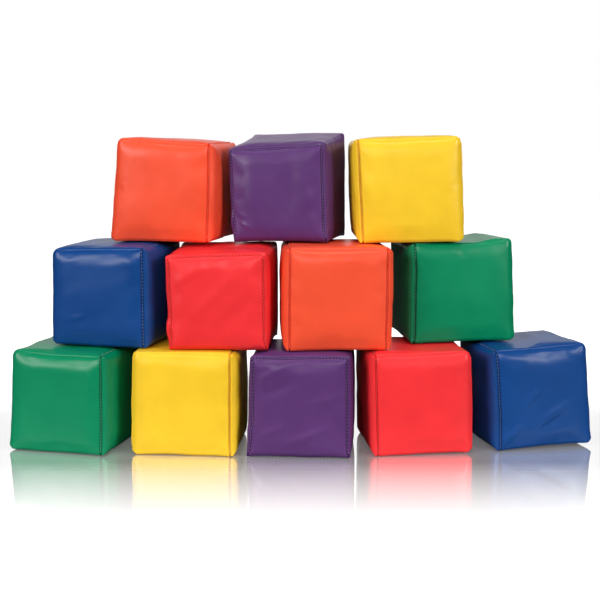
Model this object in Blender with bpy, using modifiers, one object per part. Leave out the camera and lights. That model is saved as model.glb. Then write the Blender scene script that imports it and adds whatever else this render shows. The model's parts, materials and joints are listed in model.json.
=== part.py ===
"""A stack of twelve soft play cubes: five on the floor, four on those and three on top.

Each cube is a foam core in a sewn cover of coated fabric. One band wraps four faces of the core, and an end
panel closes each side of it, with its edge turned in under the band as a seam allowance. A zip is sewn behind a
slot in the band, so that the core can go in, and its slider runs on the teeth.

Units are metres and +Z is up. The origin is on the floor, under the middle of the stack.
"""

import math
from collections import namedtuple

import bmesh
import bpy
from mathutils import Matrix

# The cube and its cover
CUBE_SIDE = 0.140  # outside of a covered cube, the same all three ways
COVER_WALL = 0.0012  # coated fabric
FOLD_RADIUS = 0.008  # outside of the band's four soft folds
FOLD_STEPS = 3  # facets in each fold
SEAM_ALLOWANCE = 0.007  # how far an end panel's edge turns in under the band
TOUCH_GAP = 0.0003  # between pieces that touch

# The zip, on the band's rear face
ZIP_HEIGHT = 0.030  # middle of the zip above the cube's underside
ZIP_END_MARGIN = 0.015  # from each end of the cube to the end of the teeth
TEETH_WIDTH = 0.004
TEETH_DEPTH = 0.0010  # how far the closed teeth stand out from the tape
TAPE_WIDTH = 0.020
TAPE_THICKNESS = 0.0006
TAPE_END = 0.003  # tape beyond the teeth, at each end
SEWN_DEPTH = 0.0002  # how far the tape is pressed into the band that it is sewn to
STOP_LENGTH = 0.0015  # the metal stop at each end of the teeth
STOP_OVERHANG = 0.0008  # how much wider and higher than the teeth a stop is
SLIDER_LENGTH = 0.009
SLIDER_WALL = 0.0008
SLOT_CLEARANCE = 0.0010  # between the slot's edge and what moves in it

# The stack
Block = namedtuple("Block", "colour yaw set_back gap_before turned")
Row = namedtuple("Row", "name shift blocks")

# From left to right: yaw in degrees, the centre's distance behind the row's line, the gap to the block before it,
# and whether the cover is turned a quarter turn, so that an end panel faces the front. A row's shift moves its
# middle sideways from that of the bottom row.
ROWS = (
    Row("bottom", 0.0, (
        Block("green", -14.5, -0.010, 0.0, False),
        Block("yellow", -5.0, -0.022, 0.0108, False),
        Block("purple", -4.0, -0.035, 0.0143, True),
        Block("red", 6.5, -0.020, 0.0040, False),
        Block("blue", 13.0, 0.012, 0.0140, False),
    )),
    Row("middle", -0.0268, (
        Block("blue", -15.0, 0.019, 0.0, False),
        Block("red", -4.5, -0.012, 0.0040, True),
        Block("orange", 3.5, -0.012, 0.0035, False),
        Block("green", 8.0, 0.048, 0.0280, False),
    )),
    Row("top", -0.0212, (
        Block("orange", -12.0, 0.052, 0.0, False),
        Block("purple", -12.5, 0.042, 0.0209, True),
        Block("yellow", 2.0, 0.034, 0.0073, False),
    )),
)

# Base colour (linear), roughness and metallic value
FINISHES = {
    "orange": ((0.94, 0.125, 0.045), 0.42, 0.0),
    "purple": ((0.115, 0.040, 0.190), 0.42, 0.0),
    "yellow": ((0.95, 0.640, 0.032), 0.42, 0.0),
    "blue": ((0.008, 0.070, 0.235), 0.42, 0.0),
    "red": ((0.92, 0.040, 0.045), 0.42, 0.0),
    "green": ((0.004, 0.250, 0.095), 0.42, 0.0),
    "foam": ((0.86, 0.86, 0.83), 0.85, 0.0),
    "slider": ((0.62, 0.62, 0.60), 0.30, 1.0),
}

# Places that follow from the sizes above, in a cube's own frame: X runs from end panel to end panel, the zip is
# on the +Y face, and the origin is the cube's centre.
HALF_SIDE = CUBE_SIDE / 2
CORE_INSET = 2 * (COVER_WALL + TOUCH_GAP)  # the band and the turned-in seam allowance lie over the foam
BAND_LENGTH = CUBE_SIDE - 2 * (COVER_WALL + TOUCH_GAP)
ZIP_LENGTH = CUBE_SIDE - 2 * ZIP_END_MARGIN
ZIP_Z = ZIP_HEIGHT - HALF_SIDE
TAPE_FACE = HALF_SIDE - COVER_WALL + SEWN_DEPTH
TAPE_BACK = TAPE_FACE - TAPE_THICKNESS
TEETH_FACE = TAPE_FACE + TEETH_DEPTH
SLIDER_WIDTH = TEETH_WIDTH + 2 * (TOUCH_GAP + SLIDER_WALL)
SLIDER_BACK = TAPE_FACE + TOUCH_GAP
SLIDER_FACE = TEETH_FACE + TOUCH_GAP + SLIDER_WALL
SLIDER_REST = ZIP_LENGTH / 2 - STOP_LENGTH - TOUCH_GAP - SLIDER_LENGTH / 2
SLOT_LENGTH = ZIP_LENGTH + 2 * SLOT_CLEARANCE
SLOT_WIDTH = max(SLIDER_WIDTH, TEETH_WIDTH + 2 * STOP_OVERHANG) + 2 * SLOT_CLEARANCE
ROW_PITCH = CUBE_SIDE + TOUCH_GAP


def clear_scene():
    for obj in list(bpy.data.objects):
        bpy.data.objects.remove(obj)


def new_collection(name):
    collection = bpy.data.collections.new(name)
    bpy.context.scene.collection.children.link(collection)
    return collection


def make_materials():
    materials = {}
    for name, (colour, roughness, metallic) in FINISHES.items():
        material = bpy.data.materials.new(name)
        material.use_nodes = True
        shader = material.node_tree.nodes["Principled BSDF"]
        shader.inputs["Base Color"].default_value = (*colour, 1.0)
        shader.inputs["Roughness"].default_value = roughness
        shader.inputs["Metallic"].default_value = metallic
        materials[name] = material
    return materials


def box(x_range, y_range, z_range):
    """A bmesh box between these limits."""
    ranges = (x_range, y_range, z_range)
    bm = bmesh.new()
    bmesh.ops.create_cube(bm, size=1)
    bmesh.ops.scale(bm, vec=[high - low for low, high in ranges], verts=bm.verts)
    bmesh.ops.translate(bm, vec=[(low + high) / 2 for low, high in ranges], verts=bm.verts)
    return bm


def centred(middle, size):
    return (middle - size / 2, middle + size / 2)


def square_bar(x_range, side, fold_radius):
    """A bmesh bar along X with a square section, whose four long edges are rounded."""
    bm = box(x_range, centred(0, side), centred(0, side))
    folds = [e for e in bm.edges if abs(e.verts[0].co.x - e.verts[1].co.x) > TOUCH_GAP]
    bmesh.ops.bevel(
        bm, geom=folds, offset=fold_radius, segments=FOLD_STEPS, profile=0.5, affect="EDGES"
    )
    return bm


def faces_towards(bm, axis, sign):
    return [f for f in bm.faces if f.normal[axis] * sign > 0.99]


def helper(name, bm):
    """An object on the way to a finished mesh: it never shows and never becomes a node."""
    mesh = bpy.data.meshes.new(name)
    bm.to_mesh(mesh)
    bm.free()
    obj = bpy.data.objects.new(name, mesh)
    obj.hide_render = True
    obj.display_type = "WIRE"
    bpy.data.collections["cutters"].objects.link(obj)
    return obj


def add_boolean(obj, operation, other):
    modifier = obj.modifiers.new(operation.lower(), "BOOLEAN")
    modifier.operation = operation
    modifier.object = other


def add_wall(obj, thickness):
    modifier = obj.modifiers.new("wall", "SOLIDIFY")
    modifier.thickness = thickness
    modifier.offset = -1
    modifier.use_even_offset = True


def finished_mesh(obj, *used):
    """The mesh that obj's modifiers give. The helpers that made it are then removed."""
    graph = bpy.context.evaluated_depsgraph_get()
    mesh = bpy.data.meshes.new_from_object(obj.evaluated_get(graph))
    mesh.name = obj.name
    for spent in (obj, *used):
        bpy.data.objects.remove(spent)
    mesh.shade_smooth()
    mesh.set_sharp_from_angle(angle=math.radians(35))
    return mesh


def core_mesh():
    """The foam: as long as the band, and small enough for the seam allowances to lie over it."""
    side = CUBE_SIDE - 2 * CORE_INSET
    return finished_mesh(helper("core", square_bar(centred(0, BAND_LENGTH), side, FOLD_RADIUS - CORE_INSET)))


def band_mesh():
    """The strip that wraps four faces, open at both ends, with the zip sewn behind a slot in its +Y face."""
    tube = square_bar(centred(0, BAND_LENGTH), CUBE_SIDE, FOLD_RADIUS)
    ends = faces_towards(tube, 0, 1) + faces_towards(tube, 0, -1)
    bmesh.ops.delete(tube, geom=ends, context="FACES_ONLY")
    band = helper("band", tube)
    add_wall(band, COVER_WALL)
    through = (HALF_SIDE - 2 * COVER_WALL, HALF_SIDE + COVER_WALL)
    slot = helper("slot", box(centred(0, SLOT_LENGTH), through, centred(ZIP_Z, SLOT_WIDTH)))
    add_boolean(band, "DIFFERENCE", slot)
    zip_pieces = make_zip_pieces()
    for piece in zip_pieces:
        add_boolean(band, "UNION", piece)
    return finished_mesh(band, slot, *zip_pieces)


def make_zip_pieces():
    """The tape behind the slot, the closed teeth on it, and a stop at each end of the teeth."""
    tape_length = ZIP_LENGTH + 2 * TAPE_END
    teeth_length = ZIP_LENGTH - STOP_LENGTH  # they end half way into the stops
    root = TAPE_FACE - TAPE_THICKNESS / 2  # teeth and stops grip half way into the tape
    stop_width = TEETH_WIDTH + 2 * STOP_OVERHANG
    pieces = [
        helper("tape", box(centred(0, tape_length), (TAPE_BACK, TAPE_FACE), centred(ZIP_Z, TAPE_WIDTH))),
        helper("teeth", box(centred(0, teeth_length), (root, TEETH_FACE), centred(ZIP_Z, TEETH_WIDTH))),
    ]
    for side in (-1, 1):
        stop_x = centred(side * (ZIP_LENGTH - STOP_LENGTH) / 2, STOP_LENGTH)
        stop_y = (root, TEETH_FACE + STOP_OVERHANG)
        pieces.append(helper("stop", box(stop_x, stop_y, centred(ZIP_Z, stop_width))))
    return pieces


def turn_in(bm, face, step, depth):
    """Insets face by step, then moves what is left of it by depth along X."""
    bmesh.ops.inset_region(bm, faces=[face], thickness=step, use_even_offset=True)
    grown = bmesh.ops.extrude_face_region(bm, geom=[face])["geom"]
    bmesh.ops.delete(bm, geom=[face], context="FACES_ONLY")
    moved = [v for v in grown if isinstance(v, bmesh.types.BMVert)]
    bmesh.ops.translate(bm, vec=(depth, 0, 0), verts=moved)
    return next(f for f in grown if isinstance(f, bmesh.types.BMFace))


def end_mesh():
    """The end panel on the +X side: a flat plate whose edge turns in under the band."""
    panel = square_bar((HALF_SIDE - COVER_WALL, HALF_SIDE), CUBE_SIDE, FOLD_RADIUS)
    inside = faces_towards(panel, 0, -1)[0]
    inside = turn_in(panel, inside, COVER_WALL + TOUCH_GAP, -SEAM_ALLOWANCE)
    turn_in(panel, inside, COVER_WALL, SEAM_ALLOWANCE)
    return finished_mesh(helper("end", panel))


def slider_mesh():
    """A saddle over the teeth, open at both ends and towards the tape. Its origin is on the line that it slides on."""
    saddle = box(
        centred(0, SLIDER_LENGTH),
        (SLIDER_BACK - TAPE_FACE, SLIDER_FACE - TAPE_FACE),
        centred(0, SLIDER_WIDTH),
    )
    open_faces = faces_towards(saddle, 0, 1) + faces_towards(saddle, 0, -1) + faces_towards(saddle, 1, -1)
    bmesh.ops.delete(saddle, geom=open_faces, context="FACES_ONLY")
    slider = helper("slider", saddle)
    add_wall(slider, SLIDER_WALL)
    return finished_mesh(slider)


def place_row(row):
    """The (x, y) of each block's centre. Each block stands gap_before from the one on its left: the nearest
    corner of one is that far from a side of the other."""
    centres = [(0.0, row.blocks[0].set_back)]
    for before, block in zip(row.blocks, row.blocks[1:]):
        x, y = centres[-1]
        turn = abs(math.radians(block.yaw - before.yaw))
        apart = block.gap_before + HALF_SIDE * (1 + math.cos(turn) + math.sin(turn))
        behind = block.set_back - y
        steps = [
            (apart - behind * math.sin(math.radians(yaw))) / math.cos(math.radians(yaw))
            for yaw in (before.yaw, block.yaw)
        ]
        centres.append((x + min(steps), block.set_back))
    reach = [half_width(block.yaw) for block in (row.blocks[0], row.blocks[-1])]
    middle = (centres[0][0] - reach[0] + centres[-1][0] + reach[1]) / 2
    return [(x - middle + row.shift, y) for x, y in centres]


def half_width(yaw):
    """Half of the width that a turned cube takes along X or Y."""
    return HALF_SIDE * (abs(math.cos(math.radians(yaw))) + abs(math.sin(math.radians(yaw))))


def footprint_middle(placed):
    """The middle of the rectangle that all the blocks stand in."""
    middle = []
    for axis in (0, 1):
        low = min(centre[axis] - half_width(block.yaw) for _, block, _, centre in placed)
        high = max(centre[axis] + half_width(block.yaw) for _, block, _, centre in placed)
        middle.append((low + high) / 2)
    return middle


def new_empty(name, parent, collection):
    empty = bpy.data.objects.new(name, None)
    empty.parent = parent
    empty.empty_display_size = HALF_SIDE
    collection.objects.link(empty)
    return empty


def new_piece(name, mesh, material, parent, collection):
    """An object that shares mesh with its copies and has a material of its own."""
    piece = bpy.data.objects.new(name, mesh)
    if not mesh.materials:
        mesh.materials.append(None)
    piece.material_slots[0].link = "OBJECT"
    piece.material_slots[0].material = material
    piece.parent = parent
    collection.objects.link(piece)
    return piece


def build():
    clear_scene()
    new_collection("cutters")
    blocks = new_collection("play_blocks")
    materials = make_materials()
    core, band, end, slider = core_mesh(), band_mesh(), end_mesh(), slider_mesh()
    placed = [
        (level, block, row.name, centre)
        for level, row in enumerate(ROWS)
        for block, centre in zip(row.blocks, place_row(row))
    ]
    middle = footprint_middle(placed)
    stack = new_empty("stack", None, blocks)
    stack.location = (-middle[0], -middle[1], 0)
    for level, block, row_name, (x, y) in placed:
        name = f"{row_name}_{block.colour}"
        frame = new_empty(name, stack, blocks)
        frame.location = (x, y, level * ROW_PITCH + HALF_SIDE)
        frame.rotation_euler.z = math.radians(block.yaw + (90 if block.turned else 0))
        cover = materials[block.colour]
        sides = ("front", "rear") if block.turned else ("left", "right")
        new_piece(f"{name}_core", core, materials["foam"], frame, blocks)
        new_piece(f"{name}_band", band, cover, frame, blocks)
        new_piece(f"{name}_{sides[1]}_end", end, cover, frame, blocks)
        far_end = new_piece(f"{name}_{sides[0]}_end", end, cover, frame, blocks)
        far_end.rotation_euler.z = math.pi
        pull = new_piece(f"{name}_slider", slider, materials["slider"], frame, blocks)
        pull.location = (SLIDER_REST, TAPE_FACE, ZIP_Z)


build()
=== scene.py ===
import json
import math

import bmesh
import bpy
import numpy as np
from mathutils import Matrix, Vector


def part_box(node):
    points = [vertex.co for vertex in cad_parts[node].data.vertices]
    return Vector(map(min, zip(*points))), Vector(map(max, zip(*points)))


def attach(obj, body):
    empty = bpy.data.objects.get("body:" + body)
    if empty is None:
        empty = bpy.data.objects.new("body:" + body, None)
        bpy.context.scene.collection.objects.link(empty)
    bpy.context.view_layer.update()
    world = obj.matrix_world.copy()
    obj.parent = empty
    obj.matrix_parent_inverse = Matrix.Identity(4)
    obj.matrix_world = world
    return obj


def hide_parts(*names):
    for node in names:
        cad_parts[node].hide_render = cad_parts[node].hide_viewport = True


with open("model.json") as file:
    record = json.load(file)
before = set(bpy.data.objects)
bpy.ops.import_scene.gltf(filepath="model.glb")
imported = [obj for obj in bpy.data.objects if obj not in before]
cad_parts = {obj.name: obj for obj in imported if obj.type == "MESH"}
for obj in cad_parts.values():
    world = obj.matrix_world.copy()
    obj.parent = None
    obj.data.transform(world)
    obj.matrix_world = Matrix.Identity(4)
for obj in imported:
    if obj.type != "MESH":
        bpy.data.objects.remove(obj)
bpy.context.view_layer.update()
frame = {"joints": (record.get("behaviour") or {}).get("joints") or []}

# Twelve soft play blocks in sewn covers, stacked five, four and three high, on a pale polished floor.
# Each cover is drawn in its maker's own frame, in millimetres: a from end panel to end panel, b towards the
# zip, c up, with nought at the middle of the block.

mm = 0.001


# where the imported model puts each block
def findBlocks():
    found = {}
    for joint in frame["joints"]:
        if not joint["name"].startswith("zip_"):
            continue
        name = joint["name"][len("zip_"):]
        coreLow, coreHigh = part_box(name + "_core")
        bandLow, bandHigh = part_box(name + "_band")
        along = -Vector(joint["axis"]).normalized()
        across = Vector((-along.y, along.x, 0))
        turned = abs(along.y) > abs(along.x)
        row, colour = name.split("_")
        sides = ("_front_end", "_rear_end") if turned else ("_left_end", "_right_end")
        found[name] = {
            "name": name,
            "row": row,
            "colour": colour,
            "turned": turned,
            "middle": (coreLow + coreHigh) / 2,
            "axes": np.array([along, across, (0, 0, 1)]),
            "half": (bandHigh.z - bandLow.z) / 2 / mm,
            "body": name + "_block",
            "pull": name + "_zip_pull",
            "ends": [name + side for side in sides],
        }
    return found


blocks = findBlocks()
half = blocks["bottom_purple"]["half"]
print("blocks found:", len(blocks), "half side", round(half, 2), "mm")


# from a block's own frame to the stack, and as it is seen from the front
def toWorld(block, points):
    return (np.asarray(points) * mm) @ block["axes"] + np.array(block["middle"])


def seenFrom(block, points):
    # (right, back, up)
    if block["turned"]:
        return np.stack([-points[:, 1], points[:, 0], points[:, 2]], 1)
    return points.copy()


def fromSeen(block, shifts):
    if block["turned"]:
        return np.stack([shifts[:, 1], -shifts[:, 0], shifts[:, 2]], 1)
    return shifts


def smoothStep(value, low, high):
    t = np.clip((value - low) / (high - low), 0, 1)
    return t * t * (3 - 2 * t)


def newPiece(name, points, faces, material, smooth=True):
    mesh = bpy.data.meshes.new(name)
    mesh.from_pydata([tuple(p) for p in points], [], [tuple(int(i) for i in f) for f in faces])
    mesh.materials.append(material)
    mesh.shade_smooth() if smooth else mesh.shade_flat()
    mesh.update()
    piece = bpy.data.objects.new(name, mesh)
    bpy.context.scene.collection.objects.link(piece)
    return piece


def shellOf(ticksA, ticksB, ticksC):
    # every grid point on the outside of a block of grid points, and the quads between them
    shape = (len(ticksA), len(ticksB), len(ticksC))
    outside = np.ones(shape, bool)
    outside[1:-1, 1:-1, 1:-1] = False
    index = np.full(shape, -1)
    index[outside] = np.arange(outside.sum())
    i, j, k = np.nonzero(outside)
    points = np.stack([ticksA[i], ticksB[j], ticksC[k]], 1)
    quads = []
    for axis in range(3):
        for side in (0, -1):
            sheet = np.take(index, side, axis)
            quad = np.stack([sheet[:-1, :-1], sheet[1:, :-1], sheet[1:, 1:], sheet[:-1, 1:]], -1)
            quad = quad.reshape(-1, 4)
            quads.append(quad[:, ::-1] if (side == 0) != (axis == 1) else quad)
    return points, np.concatenate(quads), index


# the cover's cut
cover = {
    "foldRadius": 8.0,      # soft folds of the band, away from the seams
    "earRadius": 4.5,       # the same folds where they run into a seam
    "earRadiusTurned": 3.0,
    "footRadius": 0.6,      # the lowest folds are pressed this much sharper
    "seamRadius": 10.0,     # how roundly the cover turns from band to end panel
    "seamTurn": 13.0,       # degrees from the band's face to a seam where the end panel wraps round
    "seamTurnHidden": 74.0, # the same where the band wraps round instead
    "turnedSides": 56.0,    # and at the sides of the three covers that show an end panel in front
    "turnedTop": 38.0,      # at their top
    "turnedFoot": 12.0,     # and at their foot
    "grooveDepth": 2.1,
    "grooveWidth": 1.15,
    "lipHeight": 0.55,
    "lipAt": 2.9,
    "shoulder": 2.6,        # how far the middle of a front face's edges sit back from it
    "topFold": 5.0,         # the same at its top edge, where the cover rolls over
    "topFoldTurned": 2.8,   # and where that edge is sewn
    "edgeDrag": 24.0,       # how far past an edge the next face gives way with it
    "sideShare": 0.35,      # the shoulder as a share, on the sides
    "topShare": 0.55,       # and on top
    "shoulderReach": 28.0,  # how far in from the edge the face starts to turn back
    "footShoulder": 0.3,    # the same, up from the floor, where the block's weight flattens it
    "crown": 1.1,           # how far the middle of a face stands out
    "cell": 2.5,            # grid spacing on the flat of each face
    "edgeCells": (0, 0.5, 1.0, 1.6, 2.3, 3.1, 4.0, 5.0, 6.2, 7.6, 9.2, 11.0, 13.0),
}
zipFastener = {
    "height": -40.0,        # below the middle of the block
    "slotWidth": 8.2,
    "slotLength": 112.0,
    "slotDepth": 1.9,
    "tapeFace": 69.0,       # from the middle of the block
    "coilLength": 106.8,
    "stopAt": 54.25,        # from the middle, each way
}


def gridTicks(extra=()):
    edge = np.array(cover["edgeCells"])
    inner = half - edge[-1]
    count = int(round(2 * inner / cover["cell"]))
    ticks = np.concatenate([-half + edge, np.linspace(-inner, inner, count + 1)[1:-1], half - edge])
    if len(extra):
        extra = np.array(extra, float)
        clear = np.abs(ticks[:, None] - extra[None, :]).min(1) > 1.3
        clear |= np.abs(ticks) > inner - 0.01
        ticks = np.concatenate([ticks[clear], extra])
    return np.unique(np.round(ticks, 3))


slotEdge = zipFastener["slotWidth"] / 2
slotEnd = zipFastener["slotLength"] / 2
slotSteps = [sign * (slotEdge + step) for sign in (-1, 1) for step in (-0.45, 0, 0.5, 1.3, 2.6)] + [0.0]
coverTicks = (
    gridTicks([sign * (slotEnd + step) for sign in (-1, 1) for step in (-0.5, 0, 0.55)]),
    gridTicks(),
    gridTicks([zipFastener["height"] + step for step in slotSteps]),
)
coverPoints, coverQuads, coverIndex = shellOf(*coverTicks)
print("cover grid:", len(coverPoints), "points,", len(coverQuads), "quads")


def softWaves(points, seed, wavelength, strength, count=9):
    # a few crossing ripples, the same on every run
    rng = np.random.default_rng(seed)
    total = np.zeros(len(points))
    for _ in range(count):
        way = rng.normal(size=3)
        way *= 2 * math.pi / (np.linalg.norm(way) * wavelength * rng.uniform(0.8, 1.4))
        total += np.sin(points @ way + rng.uniform(0, 2 * math.pi))
    return total * strength / math.sqrt(count)


def seamTurns(block, points):
    # degrees from the band's face to the nearest seam
    a, b, c = points.T
    if block["turned"]:
        upDown = smoothStep(np.abs(c) - np.abs(b), -10, 10)
        ends = np.where(c > 0, cover["turnedTop"], cover["turnedFoot"])
        return cover["turnedSides"] * (1 - upDown) + ends * upDown
    shown = blockShapes[block["name"]]["seams"]
    left, right = [cover["seamTurn" if side in shown else "seamTurnHidden"] for side in ("left", "right")]
    return np.where(a < 0, left, right)


def sewnShape(points, block, shape=None):
    # rounds a cube's surface into a sewn cover: soft folds along a, a grooved seam round each end
    shape = {**cover, **(shape or {})}
    a, b, c = points.T
    level = np.maximum(np.abs(b), np.abs(c))
    onEnd = np.abs(a) > half - 1e-6
    soft = smoothStep(half - np.abs(a), 2, 26)
    ear = shape["earRadiusTurned"] if block["turned"] else shape["earRadius"]
    radius = ear + (shape["foldRadius"] - ear) * soft
    radius = np.where(c < 0, radius * shape["footRadius"], radius)
    inner = half - radius
    squareB, squareC = np.clip(b, -inner, inner), np.clip(c, -inner, inner)
    restB, restC = b - squareB, c - squareC
    longest = np.hypot(restB, restC)
    shrink = np.where(longest > 1e-9, np.maximum(np.abs(restB), np.abs(restC)) / np.maximum(longest, 1e-9), 1)
    roundB, roundC = squareB + restB * shrink, squareC + restC * shrink
    turn = np.radians(seamTurns(block, points))
    seamRadius = shape["seamRadius"]
    fromSeam = np.where(onEnd, half - level, half - np.abs(a))
    near = np.clip(fromSeam / seamRadius, 0, 1)
    angle = np.where(onEnd, turn + (math.pi / 2 - turn) * near, turn * (1 - near))
    curved = fromSeam < seamRadius
    arc = seamRadius * np.abs(angle - turn) + np.where(curved, 0, fromSeam - seamRadius)
    groove = shape["grooveDepth"] * np.exp(-(arc / shape["grooveWidth"]) ** 2)
    lip = shape["lipHeight"] * np.exp(-((arc - shape["lipAt"]) / 1.5) ** 2)
    push = lip - groove
    newLevel = half - seamRadius + (seamRadius + push) * np.cos(angle)
    newA = half - seamRadius + (seamRadius + push) * np.sin(angle)
    outA = np.where(curved, np.sign(a) * newA, a)
    scale = np.where(curved, newLevel / np.maximum(level, 1e-9), 1)
    return np.stack([outA, roundB * scale, roundC * scale], 1), arc


def pillow(points, turned, onTop):
    # every face stands out a little in the middle and turns back towards its edges, less so at the corners
    moved = np.zeros_like(points)
    for axis in range(3):
        side = np.sign(points[:, axis])
        ownGap = half - np.abs(points[:, axis])
        onSide = axis == (1 if turned else 0)
        depth, swell = cover["shoulder"] * (cover["sideShare"] if onSide else 1), cover["crown"]
        if axis == 2:
            swell = np.where(side > 0, swell * (1 if onTop else 0.4), 0)
            depth = np.where(side < 0, cover["footShoulder"], depth * cover["topShare"])
        drop = np.zeros(len(points))
        bulge = np.where(ownGap < 1e-6, 1.0, 0.0)
        for other in [k for k in range(3) if k != axis]:
            gap = half - np.abs(points[:, other])
            along = np.abs(points[:, 3 - axis - other]) / half
            near = np.clip(1 - gap / cover["shoulderReach"], 0, 1) ** 2
            rolled = other == 2 and axis != 2 and not onSide
            topFold = cover["topFoldTurned"] if turned else cover["topFold"]
            here = np.where(points[:, 2] > 0, topFold, depth) if rolled else depth
            drop = np.maximum(drop, here * near * (1 - 0.55 * along ** 5))
            bulge *= 1 - (points[:, other] / half) ** 2
        # an edge that sits back takes the next face's first few centimetres with it
        drop *= np.clip(1 - ownGap / cover["edgeDrag"], 0, 1) ** 2
        moved[:, axis] += side * (swell * bulge - drop)
    return moved


def slotShare(points):
    # 1 in the slot over the zip, 0 outside it
    a, b, c = points.T
    inWidth = smoothStep(slotEdge - np.abs(c - zipFastener["height"]), -0.05, 0.4)
    inLength = smoothStep(slotEnd - np.abs(a), -0.05, 0.45)
    return np.where(b > half - 1e-6, inWidth * inLength, 0)


def zipStillness(points):
    # 0 close to the zip, which is stiff and keeps its line, and 1 away from it
    a, b, c = points.T
    past = np.maximum(np.abs(a) - slotEnd, 0)
    away = np.sqrt(past ** 2 + (b - half) ** 2 + (c - zipFastener["height"]) ** 2)
    return smoothStep(away, 5, 20)


# how each block sits, in mm
# seams: on which sides of the front the end panel's seam shows
# pulls: how far each front corner is pulled (right, up); rear: how much of that the rear corners get
# bows: how far the middle of an edge of the front stands out
# creases: from and to (right, up), width, height
blockShapes = {
    "bottom_green": {
        "seams": ["right"],
        "pulls": {"tl": (5, 0.5), "tr": (5, -2), "br": (4, 0), "bl": (-4, 0)},
        "bows": {"top": -2.5, "right": 1},
        "creases": [((40, 60), (58, 10), 9, 0.8), ((-50, 52), (30, 50), 10, 0.8)]},
    "bottom_yellow": {
        "seams": ["right"],
        "pulls": {"tl": (1, 3), "tr": (3.5, 1), "br": (3, 0), "bl": (-1, 0)},
        "bows": {"left": 0.5}, "creases": [((-55, 52), (-20, 60), 8, 0.8)]},
    "bottom_purple": {
        "pulls": {"tl": (3.5, -2), "tr": (-1.2, -0.5), "br": (-0.7, 0), "bl": (-2, 0)},
        "bows": {"left": -1.5},
        "creases": [((-62, 34), (-14, 62), 7, 2.4), ((-60, 12), (0, 40), 8, -1.8),
                    ((-64, 52), (-30, 62), 6, 1.7),
                    ((-22, -52), (44, -26), 6, 1.9), ((-60, -44), (-12, -22), 6, 1.7),
                    ((10, 2), (60, 16), 7, 1.5)]},
    "bottom_red": {
        "seams": ["left"],
        "pulls": {"tl": (-5, -0.5), "tr": (-5, 1.5), "br": (-0.5, 2), "bl": (-1, 0)},
        "bows": {"right": 1},
        "creases": [((-50, 56), (20, 60), 8, 0.9), ((40, -60), (56, -52), 4, -1.2)]},
    "bottom_blue": {
        "seams": ["left"],
        "pulls": {"tl": (-8, 0), "tr": (-5, 6), "br": (7, 3.5), "bl": (0, 0)},
        "bows": {"foot": 1.5, "left": -1.5}, "rear": 0.4,
        "creases": [((-24, -45), (40, -8), 6, 1.8), ((-30, -14), (-4, 12), 5, 1.6),
                    ((-62, -60), (-30, -36), 5, 2.0), ((-60, -34), (-48, 0), 5, 0.9),
                    ((-56, 60), (-16, 55), 6, 1.3), ((38, 62), (56, 56), 7, 1.1),
                    ((-10, -46), (30, -26), 5, -1.4)]},
    "middle_blue": {
        "seams": ["right"],
        "pulls": {"tl": (0, -6), "tr": (4, -1.5), "br": (5, 0), "bl": (-2, 0)},
        "bows": {},
        "creases": [((-40, -32), (-18, -26), 3.5, 0.9), ((30, 62), (58, 40), 7, 1.0),
                    ((-50, 56), (20, 60), 8, 0.8)]},
    "middle_red": {
        "pulls": {"tl": (-2, -11), "tr": (-2.5, -5.5), "br": (-1, 0.5), "bl": (3, 0)},
        "bows": {},
        "creases": [((-58, 26), (-12, 54), 7, 1.0), ((-38, -26), (34, 46), 9, 1.0),
                    ((0, -40), (50, 10), 9, -0.8), ((40, 50), (56, 0), 9, 0.8)]},
    "middle_orange": {
        "seams": ["left", "right"],
        "pulls": {"tl": (-3.5, 0), "tr": (5, -0.5), "br": (3, 0), "bl": (-4.5, 0)},
        "bows": {"left": 1},
        "creases": [((-50, 56), (40, 58), 8, 0.8), ((-56, 20), (-50, -30), 6, 0.8)]},
    "middle_green": {
        "seams": ["left"],
        "pulls": {"tl": (-5, 1), "tr": (4, 8), "br": (10, 2.5), "bl": (-6, 0)},
        "bows": {"left": -1}, "rear": 0.4,
        "creases": [((-50, 58), (50, 60), 7, 1.0), ((58, 40), (62, -40), 7, 0.9),
                    ((-62, 50), (-52, 20), 5, 1.0)]},
    "top_orange": {
        "seams": ["right"],
        "pulls": {"tl": (4.5, 6), "tr": (7, -3), "br": (4, 0), "bl": (-7.5, 0)},
        "bows": {"right": 1},
        "creases": [((-40, 58), (50, 58), 8, 0.7)]},
    "top_purple": {
        "pulls": {"tl": (-4, -10), "tr": (-5.5, -1), "br": (-1.5, 2), "bl": (4.5, 0)},
        "bows": {"rearTop": 13, "top": -1, "left": 2.5}, "rear": 0.2,
        "creases": [((-38, 58), (-30, -54), 12, 1.6), ((22, 58), (14, -44), 12, -1.1),
                    ((-56, -40), (-38, -50), 3, 1.0), ((-58, -26), (-44, -34), 3, 0.7),
                    ((30, 30), (52, -20), 8, 0.9)]},
    "top_yellow": {
        "seams": ["left"],
        "pulls": {"tl": (-11, 3), "tr": (0, 8), "br": (6, 1.5), "bl": (-3.5, 0)},
        "bows": {"left": 0.5}, "rear": 0.5,
        "creases": [((-60, 40), (-50, -20), 7, 1.0), ((-50, 58), (50, 58), 8, 0.7)]},
}
rearShare = 0.4     # where a block doesn't say
freeTop = {
    "rise": 5.0,    # mm that a top may rise well to the side of the blocks above
    "from": 20.0,   # mm from them where that starts
    "to": 50.0,     # and is all there
    "topRow": 13.0, # mm in the top row
}


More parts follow.
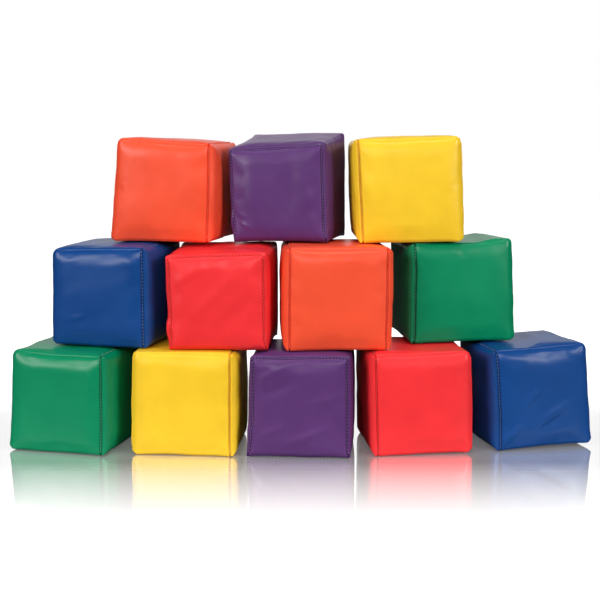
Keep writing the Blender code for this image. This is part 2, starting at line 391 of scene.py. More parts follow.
def topLimit(name, points):
    # the highest that each point may come: level under the blocks above, higher well to their sides
    block = blocks[name]
    if block["row"] == "top":
        return np.full(len(points), half + freeTop["topRow"])
    across = toWorld(block, points)[:, 0] / mm
    clear = np.full(len(points), 1e3)
    for other in blocks.values():
        if other["middle"].z < block["middle"].z + 0.1 or other["middle"].z > block["middle"].z + 0.2:
            continue
        reachOut = half * np.abs(other["axes"][:2, 0]).sum()
        clear = np.minimum(clear, np.abs(across - other["middle"].x / mm) - reachOut)
    return half + freeTop["rise"] * smoothStep(clear, freeTop["from"], freeTop["to"])


def cornerPulls(block, seen, shape):
    side, depth, up = (seen / half).T
    left, right = (1 - side) / 2, (1 + side) / 2
    low, high = (1 - up) / 2, (1 + up) / 2
    front = (1 - depth) / 2
    share = shape["rear"] + (1 - shape["rear"]) * front
    moved = np.zeros_like(seen)
    corners = {"tl": left * high, "tr": right * high, "br": right * low, "bl": left * low}
    for corner, weight in corners.items():
        toRight, toUp = shape["pulls"][corner]
        moved[:, 0] += weight * toRight * share
        moved[:, 2] += weight * toUp * share
    wide, tall = (1 - side ** 2) * share, (1 - up ** 2) * share
    bowed = {"top": (2, wide * high), "foot": (2, wide * low), "rearTop": (2, (1 - front) * high),
             "left": (0, -tall * left), "right": (0, tall * right)}
    for edge, height in shape["bows"].items():
        axis, weight = bowed[edge]
        moved[:, axis] += height * weight
    return moved


def faceCreases(seen, shape):
    # soft ridges and dents on the front face
    moved = np.zeros_like(seen)
    onFront = smoothStep(-seen[:, 1], half - 6, half - 0.5)
    for start, end, width, height in shape["creases"]:
        start, end = np.array(start, float), np.array(end, float)
        way = end - start
        length = np.linalg.norm(way)
        along = ((seen[:, [0, 2]] - start) @ way) / length ** 2
        nearest = start + np.clip(along, 0, 1)[:, None] * way
        off = np.linalg.norm(seen[:, [0, 2]] - nearest, axis=1)
        fade = np.sin(np.clip(along, 0.02, 0.98) * math.pi) ** 0.7
        moved[:, 1] -= onFront * height * fade * np.exp(-(off / width) ** 2)
    return moved


# the covers are filled by a cloth run
filling = {
    "cells": 24,
    "startSmaller": 0.9,    # mm, so that the cover swells back to its size
    "pressure": 4.0,
    "frames": 16,
    "cap": 2.6,             # mm that any point may move
    "ripple": 0.3,          # mm of unevenness that the wrinkles grow from
    "seamShrink": 0.006,    # the seams are sewn a little short
    "tautness": 0.36,       # how much of the run's relief a tight cover keeps
}
coarseTicks = np.linspace(-half, half, filling["cells"] + 1)
coarsePoints, coarseQuads, coarseIndex = shellOf(coarseTicks, coarseTicks, coarseTicks)


def fillCovers():
    coarseShape = {"grooveDepth": 0, "lipHeight": 0, "earRadius": 6, "earRadiusTurned": 6, "footRadius": 1}
    everyPoint, everyQuad, seams = [], [], []
    for number, (name, block) in enumerate(blocks.items()):
        shaped, _ = sewnShape(coarsePoints, block, coarseShape)
        outward = shaped / np.linalg.norm(shaped, axis=1)[:, None]
        shaped = shaped * (1 - filling["startSmaller"] / half)
        shaped = shaped + outward * softWaves(coarsePoints, 40 + number, 34, filling["ripple"])[:, None]
        everyQuad.append(coarseQuads + number * len(coarsePoints))
        everyPoint.append(shaped)
        onSeam = (np.abs(coarsePoints[:, 0]) > half - 1e-6) & (
            np.maximum(np.abs(coarsePoints[:, 1]), np.abs(coarsePoints[:, 2])) > half - 1e-6)
        seams.append(np.nonzero(onSeam)[0] + number * len(coarsePoints))
    apart = np.array([[0.4, 0, 0]])
    placed = np.concatenate([p * mm + apart * n for n, p in enumerate(everyPoint)])
    plain = bpy.data.materials.new("unfilled")
    sewn = newPiece("unfilledCovers", placed, np.concatenate(everyQuad), plain)
    group = sewn.vertex_groups.new(name="seams")
    group.add([int(i) for i in np.concatenate(seams)], 1.0, "REPLACE")
    cloth = sewn.modifiers.new("filling", "CLOTH")
    settings = cloth.settings
    settings.quality = 5
    settings.mass = 0.3
    settings.tension_stiffness = settings.compression_stiffness = 40
    settings.shear_stiffness = 12
    settings.bending_stiffness = 6
    settings.use_pressure = True
    settings.uniform_pressure_force = filling["pressure"]
    settings.effector_weights.gravity = 0
    settings.vertex_group_shrink = "seams"
    settings.shrink_min = 0.0
    settings.shrink_max = filling["seamShrink"]
    cloth.collision_settings.use_collision = False
    cloth.collision_settings.use_self_collision = False
    cloth.point_cache.frame_start = 1
    cloth.point_cache.frame_end = filling["frames"]
    scene = bpy.context.scene
    for step in range(1, filling["frames"] + 1):
        scene.frame_set(step)
    filled = sewn.evaluated_get(bpy.context.evaluated_depsgraph_get()).to_mesh()
    moved = np.empty(len(filled.vertices) * 3)
    filled.vertices.foreach_get("co", moved)
    moved = moved.reshape(-1, 3)
    sewn.evaluated_get(bpy.context.evaluated_depsgraph_get()).to_mesh_clear()
    scene.frame_set(1)
    bpy.data.objects.remove(sewn)
    bpy.data.materials.remove(plain)
    swells = {}
    for number, (name, block) in enumerate(blocks.items()):
        part = slice(number * len(coarsePoints), (number + 1) * len(coarsePoints))
        result = (moved[part] - apart * number) / mm
        wanted, _ = sewnShape(coarsePoints, block, coarseShape)
        shift = result - wanted
        size = np.linalg.norm(shift, axis=1)
        shift *= np.minimum(1, filling["cap"] / np.maximum(size, 1e-9))[:, None]
        swells[name] = shift
        if number == 0:
            print("filled:", name, "moves", round(float(size.max()), 2), "mm at most")
    return swells


def cubicWeights(fine, coarse):
    # how much each coarse grid line counts at each fine one, on a smooth curve through them
    count = len(coarse) - 1
    at = np.clip((fine - coarse[0]) / (coarse[1] - coarse[0]), 0, count)
    cell = np.minimum(at.astype(int), count - 1)
    t = at - cell
    weights = np.zeros((len(fine), count + 1))
    terms = (-t / 2 + t ** 2 - t ** 3 / 2, 1 - 2.5 * t ** 2 + 1.5 * t ** 3,
             t / 2 + 2 * t ** 2 - 1.5 * t ** 3, -t ** 2 / 2 + t ** 3 / 2)
    for step, term in zip((-1, 0, 1, 2), terms):
        np.add.at(weights, (np.arange(len(fine)), np.clip(cell + step, 0, count)), term)
    return weights


def refine(values, ticks, index, size):
    # coarse values on each side of the block, drawn out onto a finer grid
    result = np.zeros((size, 3))
    weights = [cubicWeights(t, coarseTicks) for t in ticks]
    for axis in range(3):
        first, second = [k for k in range(3) if k != axis]
        for side in (0, -1):
            coarse = values[np.take(coarseIndex, side, axis)]
            fine = np.einsum("ui,ijk,vj->uvk", weights[first], coarse, weights[second])
            result[np.take(index, side, axis).ravel()] = fine.reshape(-1, 3)
    return result


swells = fillCovers()
print("covers filled")


def shapeCover(name, points, base, ticks, index):
    block = blocks[name]
    shape = {"rear": rearShare, **blockShapes[name]}
    seed = list(blocks).index(name) * 7
    swell = refine(swells[name], ticks, index, len(base)) * filling["tautness"]
    still = zipStillness(base)[:, None]
    outward = points / np.linalg.norm(points, axis=1)[:, None]
    ripple = softWaves(base, 100 + seed, 60, 0.45) + softWaves(base, 300 + seed, 24, 0.12)
    shift = swell + outward * ripple[:, None] + pillow(base, block["turned"], block["row"] == "top")
    seen = seenFrom(block, base)
    shift += fromSeen(block, cornerPulls(block, seen, shape) + faceCreases(seen, shape))
    result = points + shift * still
    result[:, 2] = np.clip(result[:, 2], -half, topLimit(name, base))
    return result


# materials
def linear(hexColour):
    parts = [int(hexColour[i:i + 2], 16) / 255 for i in (1, 3, 5)]
    return tuple(p / 12.92 if p <= 0.04045 else ((p + 0.055) / 1.055) ** 2.4 for p in parts) + (1.0,)


def addNode(tree, kind, settings=None, **links):
    # settings go to the node or its inputs; a link is a socket, or a node for its first output, to an input's
    # name or its number as i0, i1 and so on
    node = tree.nodes.new(kind)
    for key, value in (settings or {}).items():
        if hasattr(node, key) and key not in node.inputs:
            setattr(node, key, value)
        else:
            node.inputs[key].default_value = value
    for key, source in links.items():
        numbered = key[0] == "i" and key[1:].isdigit()
        socket = node.inputs[int(key[1:]) if numbered else key.replace("_", " ")]
        tree.links.new(source.outputs[0] if isinstance(source, bpy.types.Node) else source, socket)
    return node


def newMaterial(name):
    # an empty material, its tree, and the place on the piece that its patterns follow
    material = bpy.data.materials.new(name)
    material.use_nodes = True
    tree = material.node_tree
    tree.nodes.clear()
    return material, tree, addNode(tree, "ShaderNodeTexCoord").outputs["Object"]


leatherColours = {
    "orange": "#F85434",
    "purple": "#5B3570",
    "yellow": "#F8CA2C",
    "blue": "#0D4385",
    "red": "#F43236",
    "green": "#00875A",
}
leather = {
    "grain": 1.4,        # mm between the pebbles of the embossed grain; the real one is nearer 0.7
    "grainDepth": 0.03,  # mm
    "drawn": 9.0,        # mm between the faint marks where the coat was stretched
    "drawnDepth": 0.12,  # mm
    "patch": 45.0,       # mm across the slow changes of tone
    "roughness": 0.36,
    "seamTone": 0.42,    # how dark the painted shade makes the cover in its seams' grooves and the zip slot
}


def coatedFabric(colour):
    # PU-coated fabric, embossed and semi-gloss: an even strong colour, soft wide highlights, and painted
    # shade darkening the seams' grooves and the zip slot
    material, tree, place = newMaterial(colour + " PU leather")
    base = linear(leatherColours[colour])
    clouds = {"Scale": 1 / (leather["patch"] * mm), "Detail": 3.0, "Roughness": 0.5}
    patches = addNode(tree, "ShaderNodeTexNoise", clouds, Vector=place)
    tone = addNode(tree, "ShaderNodeValToRGB", None, Fac=patches)
    darker, lighter = tone.color_ramp.elements
    darker.position, lighter.position = 0.3, 0.72
    darker.color = tuple(v * 0.93 for v in base[:3]) + (1,)
    lighter.color = tuple(min(1, v * 1.04) for v in base[:3]) + (1,)
    # painted shade: the colour is multiplied darker where the seamShade attribute says, in the seams' grooves
    # and the zip slot
    paintedGrooveShade = addNode(tree, "ShaderNodeAttribute", {"attribute_name": "seamShade"})
    shaded = addNode(tree, "ShaderNodeMix", {"data_type": "RGBA", "blend_type": "MULTIPLY"},
                     i0=paintedGrooveShade.outputs["Fac"], i6=tone)
    shaded.inputs[7].default_value = tuple(leather["seamTone"] + 0.52 * v for v in base[:3]) + (1,)
    smoother, rougher = leather["roughness"] - 0.05, leather["roughness"] + 0.06
    rough = addNode(tree, "ShaderNodeMapRange", {"To Min": smoother, "To Max": rougher}, Value=patches)
    pebbles = {"feature": "SMOOTH_F1", "Scale": 1 / (leather["grain"] * mm)}
    grain = addNode(tree, "ShaderNodeTexVoronoi", pebbles, Vector=place)
    marks = {"Scale": 1 / (leather["drawn"] * mm), "Detail": 2.0}
    drawn = addNode(tree, "ShaderNodeTexNoise", marks, Vector=place)
    relief = {"Strength": 0.5, "Distance": leather["grainDepth"] * mm}
    grainBump = addNode(tree, "ShaderNodeBump", relief, Height=grain)
    relief = {"Strength": 0.6, "Distance": leather["drawnDepth"] * mm}
    drawnBump = addNode(tree, "ShaderNodeBump", relief, Height=drawn, Normal=grainBump)
    finish = {"IOR": 1.5, "Specular IOR Level": 0.25, "Coat Weight": 0.04, "Coat Roughness": 0.25}
    shader = addNode(tree, "ShaderNodeBsdfPrincipled", finish, Roughness=rough, Normal=drawnBump,
                     Base_Color=shaded.outputs[2])
    addNode(tree, "ShaderNodeOutputMaterial", None, Surface=shader)
    return material


threadColours = {
    "orange": "#FF8460",
    "purple": "#A07CC0",
    "yellow": "#FFDC66",
    "blue": "#6488CC",
    "red": "#FF6C66",
    "green": "#62BD93",
}


def spunThread(colour):
    # bonded polyester thread, two plies twisted: matt, a little lighter than the cover
    material, tree, place = newMaterial(colour + " polyester thread")
    twist = addNode(tree, "ShaderNodeTexNoise", {"Scale": 1 / (0.8 * mm), "Detail": 1.0}, Vector=place)
    tone = addNode(tree, "ShaderNodeValToRGB", None, Fac=twist)
    base = linear(threadColours[colour])
    tone.color_ramp.elements[0].color = tuple(v * 0.6 for v in base[:3]) + (1,)
    tone.color_ramp.elements[1].color = base
    finish = {"Roughness": 0.6, "Sheen Weight": 0.2}
    shader = addNode(tree, "ShaderNodeBsdfPrincipled", finish, Base_Color=tone)
    addNode(tree, "ShaderNodeOutputMaterial", None, Surface=shader)
    return material


def wovenTape():
    # woven polyester zip tape: matt, with a fine twill across it
    material, tree, place = newMaterial("woven zip tape")
    weave = {"wave_type": "BANDS", "bands_direction": "DIAGONAL", "Scale": 1 / (4.4 * mm), "Distortion": 0.6}
    twill = addNode(tree, "ShaderNodeTexWave", weave, Vector=place)
    tone = addNode(tree, "ShaderNodeValToRGB", None, Fac=twill.outputs["Fac"])
    tone.color_ramp.elements[0].color = linear("#101012")
    tone.color_ramp.elements[1].color = linear("#26262A")
    relief = {"Strength": 0.5, "Distance": 0.1 * mm}
    bump = addNode(tree, "ShaderNodeBump", relief, Height=twill.outputs["Fac"])
    shader = addNode(tree, "ShaderNodeBsdfPrincipled", {"Roughness": 0.8}, Base_Color=tone, Normal=bump)
    addNode(tree, "ShaderNodeOutputMaterial", None, Surface=shader)
    return material


def nylonCoil():
    # extruded nylon coil: a slight gloss on each turn
    material, tree, place = newMaterial("nylon zip coil")
    cloud = addNode(tree, "ShaderNodeTexNoise", {"Scale": 1 / (3 * mm)}, Vector=place)
    rough = addNode(tree, "ShaderNodeMapRange", {"To Min": 0.28, "To Max": 0.42}, Value=cloud)
    shader = addNode(tree, "ShaderNodeBsdfPrincipled", {"Base Color": linear("#1B1B1F"), "IOR": 1.53},
                     Roughness=rough)
    addNode(tree, "ShaderNodeOutputMaterial", None, Surface=shader)
    return material


def platedZinc():
    # die-cast zinc, nickel plated and tumbled: a warm grey metal, softly polished
    material, tree, place = newMaterial("nickel-plated zinc")
    tumble = addNode(tree, "ShaderNodeTexNoise", {"Scale": 1 / (1.5 * mm), "Detail": 3.0}, Vector=place)
    rough = addNode(tree, "ShaderNodeMapRange", {"To Min": 0.2, "To Max": 0.36}, Value=tumble)
    shader = addNode(tree, "ShaderNodeBsdfPrincipled", {"Base Color": linear("#B9B6AE"), "Metallic": 1.0},
                     Roughness=rough)
    addNode(tree, "ShaderNodeOutputMaterial", None, Surface=shader)
    return material


def cutFoam():
    # flexible polyurethane foam, saw-cut: pale, matt, open cells
    material, tree, place = newMaterial("cut polyurethane foam")
    cells = addNode(tree, "ShaderNodeTexVoronoi", {"Scale": 1 / (1.2 * mm)}, Vector=place)
    tone = addNode(tree, "ShaderNodeValToRGB", None, Fac=cells)
    tone.color_ramp.elements[0].color = linear("#C9BE9C")
    tone.color_ramp.elements[1].color = linear("#EFE8D2")
    bump = addNode(tree, "ShaderNodeBump", {"Strength": 0.7, "Distance": 0.3 * mm}, Height=cells)
    shader = addNode(tree, "ShaderNodeBsdfPrincipled", {"Roughness": 0.95}, Base_Color=tone, Normal=bump)
    addNode(tree, "ShaderNodeOutputMaterial", None, Surface=shader)
    return material


leathers = {colour: coatedFabric(colour) for colour in leatherColours}
threads = {colour: spunThread(colour) for colour in threadColours}
tapeMaterial, coilMaterial, zincMaterial, foamMaterial = wovenTape(), nylonCoil(), platedZinc(), cutFoam()


# repeated small things, by Geometry Nodes
def newTree(name, paint, sizes):
    tree = bpy.data.node_groups.new(name, "GeometryNodeTree")
    tree.interface.new_socket("Geometry", in_out="INPUT", socket_type="NodeSocketGeometry")
    for label, value in sizes.items():
        tree.interface.new_socket(label, in_out="INPUT", socket_type="NodeSocketFloat").default_value = value
    tree.interface.new_socket(paint, in_out="INPUT", socket_type="NodeSocketMaterial")
    tree.interface.new_socket("Geometry", in_out="OUTPUT", socket_type="NodeSocketGeometry")
    return tree, tree.nodes.new("NodeGroupInput"), tree.nodes.new("NodeGroupOutput")


def pointsAlong(tree, given):
    # the start of each tree: points a pitch apart on every edge of the path that was given
    path = addNode(tree, "GeometryNodeMeshToCurve", None, Mesh=given)
    row = addNode(tree, "GeometryNodeResampleCurve", {"mode": "LENGTH"}, Curve=path,
                  Length=given.outputs["Pitch"])
    return addNode(tree, "GeometryNodeCurveToPoints", {"mode": "EVALUATED"}, Curve=row)


def paintTree(tree, instances, paint, result):
    # the end of each tree: plain smooth faces in the material that was given
    real = addNode(tree, "GeometryNodeRealizeInstances", None, Geometry=instances)
    smooth = addNode(tree, "GeometryNodeSetShadeSmooth", None, i0=real)
    painted = addNode(tree, "GeometryNodeSetMaterial", None, Geometry=smooth, Material=paint)
    tree.links.new(painted.outputs["Geometry"], result.inputs["Geometry"])


def stitchTree():
    # stitches in a row along every edge of a path
    tree, given, result = newTree("Row of stitches", "Thread", {
        "Pitch": 0.004, "Stitch Length": 0.0028, "Thread Width": 0.0006, "Unevenness": 0.06})
    points = pointsAlong(tree, given)
    bead = addNode(tree, "GeometryNodeMeshUVSphere", {"Segments": 6, "Rings": 5, "Radius": 0.5})
    spin = addNode(tree, "FunctionNodeRandomValue", {"data_type": "FLOAT_VECTOR"})
    spin.inputs["Seed"].default_value = 11
    wobble = addNode(tree, "ShaderNodeVectorMath", {"operation": "SCALE"}, i0=spin,
                     Scale=given.outputs["Unevenness"])
    thick = given.outputs["Thread Width"]
    size = addNode(tree, "ShaderNodeCombineXYZ", None, X=thick, Y=thick, Z=given.outputs["Stitch Length"])
    placed = addNode(tree, "GeometryNodeInstanceOnPoints", None, Points=points, Instance=bead,
                     Rotation=points.outputs["Rotation"], Scale=size)
    turned = addNode(tree, "GeometryNodeRotateInstances", None, Instances=placed, Rotation=wobble)
    paintTree(tree, turned, given.outputs["Thread"], result)
    return tree


def coilTree():
    # turns of a zip's coil, meshed from both sides, along every edge of a path
    tree, given, result = newTree("Meshed coil", "Coil", {
        "Pitch": 0.0013, "Turn Length": 0.0034, "Turn Width": 0.0009, "Side Step": 0.00035})
    points = pointsAlong(tree, given)
    bar = addNode(tree, "GeometryNodeMeshCylinder", {"Vertices": 8, "Radius": 0.5, "Depth": 1.0})
    thick = given.outputs["Turn Width"]
    size = addNode(tree, "ShaderNodeCombineXYZ", None, X=thick, Y=thick, Z=given.outputs["Turn Length"])
    number = addNode(tree, "GeometryNodeInputIndex")
    odd = addNode(tree, "ShaderNodeMath", {"operation": "MODULO"}, i0=number)
    odd.inputs[1].default_value = 2.0
    sign = addNode(tree, "ShaderNodeMath", {"operation": "SUBTRACT"}, i0=odd)
    sign.inputs[1].default_value = 0.5
    step = addNode(tree, "ShaderNodeMath", {"operation": "MULTIPLY"}, i0=sign, i1=given.outputs["Side Step"])
    across = addNode(tree, "ShaderNodeCombineXYZ", None, Z=step)
    placed = addNode(tree, "GeometryNodeInstanceOnPoints", None, Points=points, Instance=bar, Scale=size)
    moved = addNode(tree, "GeometryNodeTranslateInstances", {"Local Space": False}, Instances=placed,
                    Translation=across)
    paintTree(tree, moved, given.outputs["Coil"], result)
    return tree


rowOfStitches, meshedCoil = stitchTree(), coilTree()


def growAlong(name, tree, paths, values):
    # bakes a tree onto these paths, as one plain mesh in the material among its values
    points, edges = [], []
    for path in paths:
        edges += [(len(points) + i, len(points) + i + 1) for i in range(len(path) - 1)]
        points += [tuple(p) for p in path]
    guide = bpy.data.meshes.new(name + "Guide")
    guide.from_pydata(points, edges, [])
    carrier = bpy.data.objects.new(name + "Guide", guide)
    bpy.context.scene.collection.objects.link(carrier)
    maker = carrier.modifiers.new(name, "NODES")
    maker.node_group = tree
    inputs = [item for item in tree.interface.items_tree if item.in_out == "INPUT"]
    sockets = {item.name: item.identifier for item in inputs}
    for label, value in values.items():
        maker[sockets[label]] = value
    carrier.update_tag()
    grown = bpy.data.meshes.new_from_object(carrier.evaluated_get(bpy.context.evaluated_depsgraph_get()))
    bpy.data.objects.remove(carrier)
    bpy.data.meshes.remove(guide)
    grown.name = name
    grown.materials.clear()
    grown.materials.append(next(value for value in values.values() if isinstance(value, bpy.types.Material)))
    grown.polygons.foreach_set("material_index", [0] * len(grown.polygons))
    piece = bpy.data.objects.new(name, grown)
    bpy.context.scene.collection.objects.link(piece)
    return piece


# covers
def seamPaths(block, final):
    # one path along each of the four sides of each end panel's seam, just above the bottom of the groove
    paths = []
    for end in (0, -1):
        for axis, side in ((1, 0), (1, -1), (2, 0), (2, -1)):
            line = [end, slice(None), slice(None)]
            line[axis] = side
            row = coverIndex[tuple(line)][6:-6]
            spot, turn = final[row], np.radians(seamTurns(block, coverPoints[row]))
            out = np.zeros_like(spot)
            out[:, 0] = np.sign(spot[:, 0]) * np.sin(turn)
            out[:, axis] = np.sign(spot[:, axis]) * np.cos(turn)
            paths.append(toWorld(block, spot + out * stitching["above"]))
    return paths


stitching = {
    "pitch": 4.4,
    "length": 3.0,
    "thread": 1.15,
    "above": 2.0,       # mm over the bottom of the groove
    "zipPitch": 3.0,
    "zipLength": 2.1,
    "zipThread": 0.6,
    "fromSlot": 2.0,
}

for name, block in blocks.items():
    sewn, arc = sewnShape(coverPoints, block)
    final = shapeCover(name, sewn, coverPoints, coverTicks, coverIndex)
    slot = slotShare(coverPoints)
    final[:, 1] -= slot * zipFastener["slotDepth"]
    piece = newPiece(name + "_cover", toWorld(block, final), coverQuads, leathers[block["colour"]])
    # painted shade: seamShade is 1 at the bottom of each seam's groove, fading over a few mm, and half in the
    # zip slot
    shade = piece.data.attributes.new("seamShade", "FLOAT", "POINT")
    shade.data.foreach_set("value", np.clip(np.exp(-(arc / 1.5) ** 2) + slot * 0.5, 0, 1).astype(np.float32))
    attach(piece, block["body"])
    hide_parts(name + "_band", *block["ends"])

    stitches = growAlong(name + "_seam_stitches", rowOfStitches, seamPaths(block, final), {
        "Pitch": stitching["pitch"] * mm, "Stitch Length": stitching["length"] * mm,
        "Thread Width": stitching["thread"] * mm, "Thread": threads[block["colour"]]})
    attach(stitches, block["body"])
print("covers sewn")


# zips
def blockFace(block, a, b, c):
    return toWorld(block, np.stack(np.broadcast_arrays(a, b, c), -1).reshape(-1, 3).astype(float))


def zipTape(name, block):
    # two tapes side by side, each with a corded edge beside the coil
    steps = np.linspace(-slotEnd + 0.2, slotEnd - 0.2, 57)
    across = (-4.0, -3.0, -2.3, -1.7, -0.3, 0.0, 0.3, 1.7, 2.3, 3.0, 4.0)
    height = (0, 0.05, 0.35, 0.1, 0, -0.25, 0, 0.1, 0.35, 0.05, 0)
    face = zipFastener["tapeFace"]
    points, faces = [], []
    width = len(across)
    for level in (0, 1):
        for a in steps:
            for c, up in zip(across, height):
                points.append((a, face + up if level == 0 else face - 0.6, zipFastener["height"] + c))
    bottom = len(steps) * width
    for i in range(len(steps) - 1):
        for j in range(width - 1):
            q = (i * width + j, i * width + j + 1, (i + 1) * width + j + 1, (i + 1) * width + j)
            faces.append(q)
            faces.append(tuple(bottom + k for k in reversed(q)))
    rim = [i * width for i in range(len(steps))]
    rim += [(len(steps) - 1) * width + j for j in range(1, width)]
    rim += [i * width + width - 1 for i in range(len(steps) - 2, -1, -1)]
    rim += [j for j in range(width - 2, 0, -1)]
    for k, here in enumerate(rim):
        there = rim[(k + 1) % len(rim)]
        faces.append((here, there, bottom + there, bottom + here))
    piece = newPiece(name + "_zip_tape", toWorld(block, points), faces, tapeMaterial)
    outwards(piece)
    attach(piece, block["body"])


def outwards(piece):
    bm = bmesh.new()
    bm.from_mesh(piece.data)
    bmesh.ops.remove_doubles(bm, verts=bm.verts, dist=1e-7)
    bmesh.ops.recalc_face_normals(bm, faces=bm.faces)
    bm.to_mesh(piece.data)
    bm.free()


def roundedBlock(bm, size, middle, bevel):
    made = bmesh.ops.create_cube(bm, size=1)["verts"]
    bmesh.ops.scale(bm, vec=size, verts=made)
    bmesh.ops.translate(bm, vec=middle, verts=made)
    edges = list({e for v in made for e in v.link_edges})
    bmesh.ops.bevel(bm, geom=edges, offset=bevel, segments=2, profile=0.6, affect="EDGES")


def metalPiece(name, block, build, body):
    bm = bmesh.new()
    build(bm)
    for vert in bm.verts:
        vert.co = Vector(toWorld(block, np.array([vert.co]))[0])
    bmesh.ops.recalc_face_normals(bm, faces=bm.faces)
    mesh = bpy.data.meshes.new(name)
    bm.to_mesh(mesh)
    bm.free()
    mesh.materials.append(zincMaterial)
    mesh.shade_smooth()
    piece = bpy.data.objects.new(name, mesh)
    bpy.context.scene.collection.objects.link(piece)
    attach(piece, body)
    return piece


sliderShape = {"length": 9.0, "width": 6.2, "back": 69.3, "face": 71.1, "plate": 0.8, "rest": 48.7}


def buildSlider(bm):
    # a shield-shaped plate over the coil, its two sides turned down beside it, and a low lug with no pull
    length, width, face = sliderShape["length"], sliderShape["width"], sliderShape["face"]
    back, plate, rest = sliderShape["back"], sliderShape["plate"], sliderShape["rest"]
    height = zipFastener["height"]
    outline = []
    for k in range(32):
        turn = 2 * math.pi * k / 32
        x, y = math.cos(turn), math.sin(turn)
        bulge = (abs(x) ** 3.2 + abs(y) ** 3.2) ** (-1 / 3.2)
        narrow = 1 - 0.13 * (1 - x * bulge) / 2
        outline.append((x * bulge * length / 2, y * bulge * width / 2 * narrow))
    levels = ((face - plate, 0.98), (face - 0.25, 1.0), (face - 0.04, 0.93), (face, 0.78))
    rings = []
    for level, share in levels:
        rings.append([bm.verts.new((rest + x * share, level, height + z * share)) for x, z in outline])
    for below, above in zip(rings, rings[1:]):
        for k in range(32):
            bm.faces.new((below[k], below[(k + 1) % 32], above[(k + 1) % 32], above[k]))
    bm.faces.new(rings[-1])
    bm.faces.new(rings[0][::-1])
    for side in (-1, 1):
        middle = (rest, (face + back) / 2 - 0.1, height + side * (width - plate) / 2 * 0.98)
        roundedBlock(bm, (length * 0.86, face - back, plate), middle, 0.18)
    roundedBlock(bm, (3.6, 0.9, 1.7), (rest + 0.4, face + 0.3, height), 0.32)


def buildStops(bm):
    for side in (-1, 1):
        roundedBlock(bm, (1.5, 2.1, 5.6), (side * zipFastener["stopAt"], 69.75, zipFastener["height"]), 0.35)


for name, block in blocks.items():
    zipTape(name, block)
    coilEnd = zipFastener["coilLength"] / 2
    coilLine = blockFace(block, np.linspace(-coilEnd, coilEnd, 3), 69.55, zipFastener["height"])
    coil = growAlong(name + "_zip_coil", meshedCoil, [coilLine], {"Pitch": 1.3 * mm, "Coil": coilMaterial})
    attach(coil, block["body"])
    edges = []
    for side in (-1, 1):
        edges.append(blockFace(block, np.linspace(-slotEnd, slotEnd, 9), half + 0.12,
                               zipFastener["height"] + side * (slotEdge + stitching["fromSlot"])))
    topStitch = growAlong(name + "_zip_stitches", rowOfStitches, edges, {
        "Pitch": stitching["zipPitch"] * mm, "Stitch Length": stitching["zipLength"] * mm,
        "Thread Width": stitching["zipThread"] * mm, "Thread": threads[block["colour"]]})
    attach(topStitch, block["body"])
    slider = metalPiece(name + "_zip_slider", block, buildSlider, block["pull"])
    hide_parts(name + "_slider")
    metalPiece(name + "_zip_stops", block, buildStops, block["body"])
print("zips fitted")

# foam cores
foamTicks = np.linspace(-half, half, 21)
foamPoints, foamQuads, foamIndex = shellOf(foamTicks, foamTicks, foamTicks)
for name, block in blocks.items():
    square, _ = sewnShape(foamPoints, block, {"earRadius": 7, "grooveDepth": 0, "lipHeight": 0})
    shaped = shapeCover(name, square, foamPoints, (foamTicks, foamTicks, foamTicks), foamIndex)
    foam = newPiece(name + "_foam", toWorld(block, shaped * (1 - 4.6 / half)), foamQuads, foamMaterial)
    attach(foam, block["body"])
    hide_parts(name + "_core")
print("cores in")

# floor, lights, camera
floorLook = {
    "reach": 6.0,                 # m each way
    "level": -0.0002,             # just under the blocks
    "mirror": 0.82,               # share of gloss beside the blocks
    "mirrorFront": (-0.13, -0.4), # where it starts to fade in front of them, and where it has gone
    "mirrorBack": (0.12, 0.3),    # and behind them
    "glow": (0.5, 1.0),           # the floor is lit from below: near the blocks, and away from them
    "glowFrom": (0.42, 0.62),     # m from the middle
}


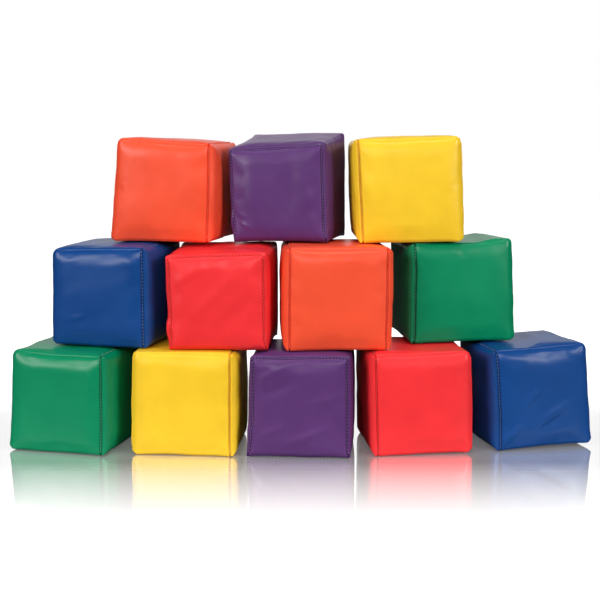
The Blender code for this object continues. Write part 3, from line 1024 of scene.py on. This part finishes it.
def polishedFloor():
    # white acrylic sheet: matt white, with a mirror-like gloss near the blocks that fades away from them
    material, tree, place = newMaterial("white acrylic floor")
    parts = addNode(tree, "ShaderNodeSeparateXYZ", None, Vector=place)
    near, far = floorLook["mirrorFront"]
    fading = {"From Min": far, "From Max": near, "To Max": floorLook["mirror"]}
    front = addNode(tree, "ShaderNodeMapRange", fading, Value=parts.outputs["Y"])
    near, far = floorLook["mirrorBack"]
    back = addNode(tree, "ShaderNodeMapRange", {"From Min": far, "From Max": near}, Value=parts.outputs["Y"])
    path = addNode(tree, "ShaderNodeLightPath")
    direct = addNode(tree, "ShaderNodeMath", {"operation": "SUBTRACT"}, i1=path.outputs["Is Glossy Ray"])
    direct.inputs[0].default_value = 1.0
    ends = addNode(tree, "ShaderNodeMath", {"operation": "MULTIPLY"}, i0=front, i1=back)
    fade = addNode(tree, "ShaderNodeMath", {"operation": "MULTIPLY"}, i0=ends, i1=direct)
    away = addNode(tree, "ShaderNodeVectorMath", {"operation": "LENGTH"}, i0=place)
    (near, far), (nearGlow, farGlow) = floorLook["glowFrom"], floorLook["glow"]
    growing = {"From Min": near, "From Max": far, "To Min": nearGlow, "To Max": farGlow}
    light = addNode(tree, "ShaderNodeMapRange", growing, Value=away.outputs["Value"])
    seen = addNode(tree, "ShaderNodeMath", {"operation": "MULTIPLY"}, i0=light,
                   i1=path.outputs["Is Camera Ray"])
    bounced = addNode(tree, "ShaderNodeMath", {"operation": "MAXIMUM"}, i0=path.outputs["Is Glossy Ray"],
                      i1=path.outputs["Is Diffuse Ray"])
    paint = addNode(tree, "ShaderNodeMapRange", {"To Min": 0.8, "To Max": 0.1}, Value=bounced)
    matt = addNode(tree, "ShaderNodeBsdfDiffuse", None, Color=paint)
    glow = addNode(tree, "ShaderNodeEmission", {"Color": (1, 1, 1, 1)}, Strength=seen)
    white = addNode(tree, "ShaderNodeAddShader", None, i0=matt, i1=glow)
    gloss = addNode(tree, "ShaderNodeBsdfGlossy", {"Color": (1, 1, 1, 1), "Roughness": 0.03})
    both = addNode(tree, "ShaderNodeMixShader", None, Fac=fade, i1=white, i2=gloss)
    addNode(tree, "ShaderNodeOutputMaterial", None, Surface=both)
    return material


reach = floorLook["reach"]
floorCorners = [(reach * x, reach * y, floorLook["level"]) for x, y in ((-1, -1), (1, -1), (1, 1), (-1, 1))]
floor = newPiece("floor", floorCorners, [(0, 1, 2, 3)], polishedFloor(), smooth=False)


def studioWorld():
    world = bpy.data.worlds.new("white studio")
    bpy.context.scene.world = world
    world.use_nodes = True
    tree = world.node_tree
    tree.nodes.clear()
    way = addNode(tree, "ShaderNodeTexCoord")
    parts = addNode(tree, "ShaderNodeSeparateXYZ", None, Vector=way.outputs["Generated"])
    ceiling = addNode(tree, "ShaderNodeValToRGB", None, Fac=parts.outputs["Z"])
    band = ceiling.color_ramp
    band.elements[0].position, band.elements[0].color = 0.01, (0.03, 0.03, 0.03, 1)
    band.elements[1].position, band.elements[1].color = 0.6, (0.2, 0.2, 0.2, 1)
    for position, value in ((0.07, 0.95), (0.34, 1.0)):
        band.elements.new(position).color = (value, value, value, 1)
    backward = {"From Min": 0.0, "From Max": 0.5, "To Min": 0.06, "To Max": 1.0}
    behind = addNode(tree, "ShaderNodeMapRange", backward, Value=parts.outputs["Y"])
    off = addNode(tree, "ShaderNodeMath", {"operation": "ABSOLUTE"}, i0=parts.outputs["X"])
    sideward = {"From Min": 0.48, "From Max": 0.22, "To Min": 0.02}
    ahead = addNode(tree, "ShaderNodeMapRange", sideward, Value=off)
    panel = addNode(tree, "ShaderNodeMath", {"operation": "MULTIPLY"}, i0=behind, i1=ahead)
    mirrored = addNode(tree, "ShaderNodeMath", {"operation": "MULTIPLY"}, i0=ceiling, i1=panel)
    path = addNode(tree, "ShaderNodeLightPath")
    soft = addNode(tree, "ShaderNodeMix", {"data_type": "FLOAT"}, i0=path.outputs["Is Diffuse Ray"],
                   i2=mirrored)
    soft.inputs[3].default_value = 0.07
    strength = addNode(tree, "ShaderNodeMix", {"data_type": "FLOAT"}, i0=path.outputs["Is Camera Ray"],
                       i2=soft)
    strength.inputs[3].default_value = 1.0
    sky = addNode(tree, "ShaderNodeBackground", {"Color": (1, 1, 1, 1)}, Strength=strength)
    addNode(tree, "ShaderNodeOutputWorld", None, Surface=sky)


def softBox(name, place, target, size, power):
    light = bpy.data.lights.new(name, "AREA")
    light.shape = "RECTANGLE"
    light.size, light.size_y = size
    light.energy = power
    lamp = bpy.data.objects.new(name, light)
    lamp.location = place
    lamp.rotation_euler = (Vector(target) - Vector(place)).to_track_quat("-Z", "Y").to_euler()
    bpy.context.scene.collection.objects.link(lamp)


studioWorld()
softBox("left softbox", (-2.0, -1.75, 1.1), (0, 0, 0.2), (0.9, 0.9), 38)
softBox("right softbox", (2.0, -1.75, 1.1), (0, 0, 0.2), (0.9, 0.9), 38)
softBox("front softbox", (-0.1, -2.6, 1.3), (0, 0, 0.2), (1.0, 0.7), 16)
softBox("top softbox", (0, -0.6, 2.3), (0, 0, 0.2), (1.6, 1.0), 20)

cameraView = {"place": (-0.0014, -1.6127, 0.425), "down": 5.0, "lens": 69.1, "shift": -0.1028}
camera = bpy.data.objects.new("camera", bpy.data.cameras.new("camera"))
camera.location = cameraView["place"]
camera.rotation_euler = (math.radians(90 - cameraView["down"]), 0, 0)
camera.data.lens = cameraView["lens"]
camera.data.sensor_width = 36.0
camera.data.shift_y = cameraView["shift"]
bpy.context.scene.collection.objects.link(camera)
bpy.context.scene.camera = camera
bpy.context.scene.view_settings.view_transform = "Standard"
